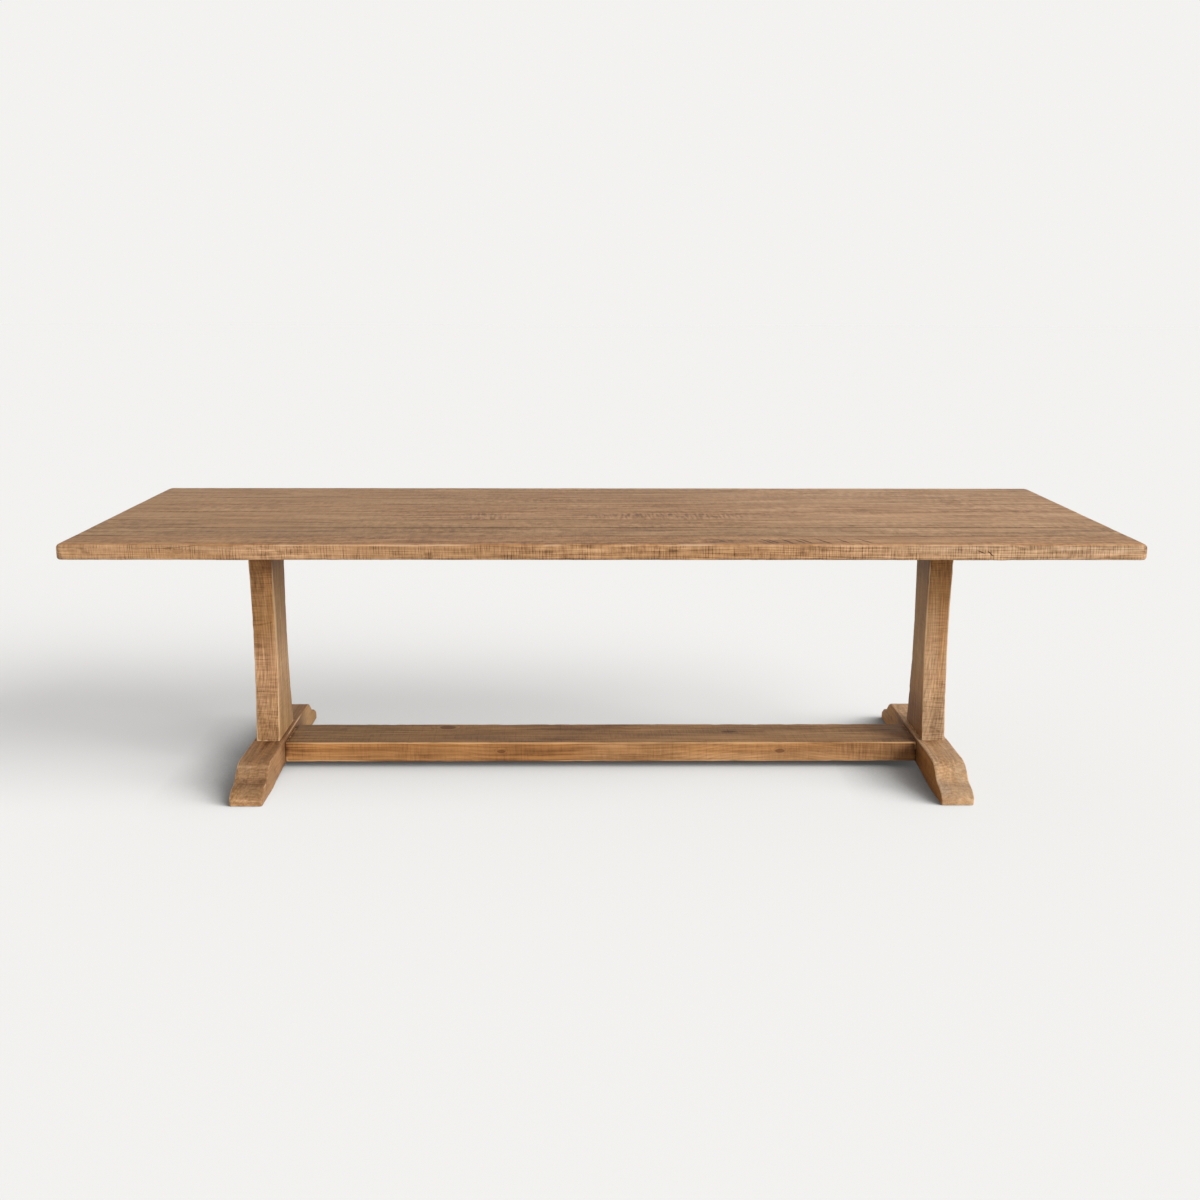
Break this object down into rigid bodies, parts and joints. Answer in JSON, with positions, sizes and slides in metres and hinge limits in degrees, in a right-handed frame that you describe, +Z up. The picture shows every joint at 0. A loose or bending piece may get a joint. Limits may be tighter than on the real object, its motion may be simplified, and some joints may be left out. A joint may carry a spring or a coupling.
{
  "type": "trestle dining table",
  "caption": "Long plank-top trestle dining table on waisted posts and ogee sledge feet, tied by a low flat stretcher.",
  "frame": {"origin": "on the floor, under the middle of the top", "axes": "+X along the table's length, +Y across it to the back, +Z up"},
  "size_m": [2.8, 1, 0.75],
  "materials": {
    "top_pine": "matte, saw-marked and worn",
    "frame_pine": "matte, saw-marked and worn",
    "hidden_pine": "matte, rough sawn",
    "spline_beech": "matte, planed",
    "steel": "zinc plated",
    "brass": "plain"
  },
  "bodies": {
    "root": {"barrel_nut_left_back": "steel", "barrel_nut_left_front": "steel", "barrel_nut_right_back": "steel", "barrel_nut_right_front": "steel", "batten": "hidden_pine", "batten_screw_1": "steel", "batten_screw_2": "steel", "batten_screw_3": "steel", "batten_screw_4": "steel", "bearer_left": "hidden_pine", "bearer_right": "hidden_pine", "foot_left": "frame_pine", "foot_right": "frame_pine", "plank_spline_1": "spline_beech", "plank_spline_2": "spline_beech", "plank_spline_3": "spline_beech", "plank_spline_4": "spline_beech", "plank_spline_5": "spline_beech", "plank_spline_6": "spline_beech", "plank_spline_7": "spline_beech", "post_left": "frame_pine", "post_right": "frame_pine", "stretcher": "frame_pine", "stretcher_bolt_left_back": "steel", "stretcher_bolt_left_front": "steel", "stretcher_bolt_right_back": "steel", "stretcher_bolt_right_front": "steel", "top_insert_left_1": "brass", "top_insert_left_2": "brass", "top_insert_left_3": "brass", "top_insert_left_4": "brass", "top_insert_right_1": "brass", "top_insert_right_2": "brass", "top_insert_right_3": "brass", "top_insert_right_4": "brass", "top_plank_1": "top_pine", "top_plank_2": "top_pine", "top_plank_3": "top_pine", "top_plank_4": "top_pine", "top_plank_5": "top_pine", "top_plank_6": "top_pine", "top_plank_7": "top_pine", "top_plank_8": "top_pine", "top_screw_left_1": "steel", "top_screw_left_2": "steel", "top_screw_left_3": "steel", "top_screw_left_4": "steel", "top_screw_right_1": "steel", "top_screw_right_2": "steel", "top_screw_right_3": "steel", "top_screw_right_4": "steel", "washer_left_back": "steel", "washer_left_front": "steel", "washer_right_back": "steel", "washer_right_front": "steel"}
  },
  "joints": []
}
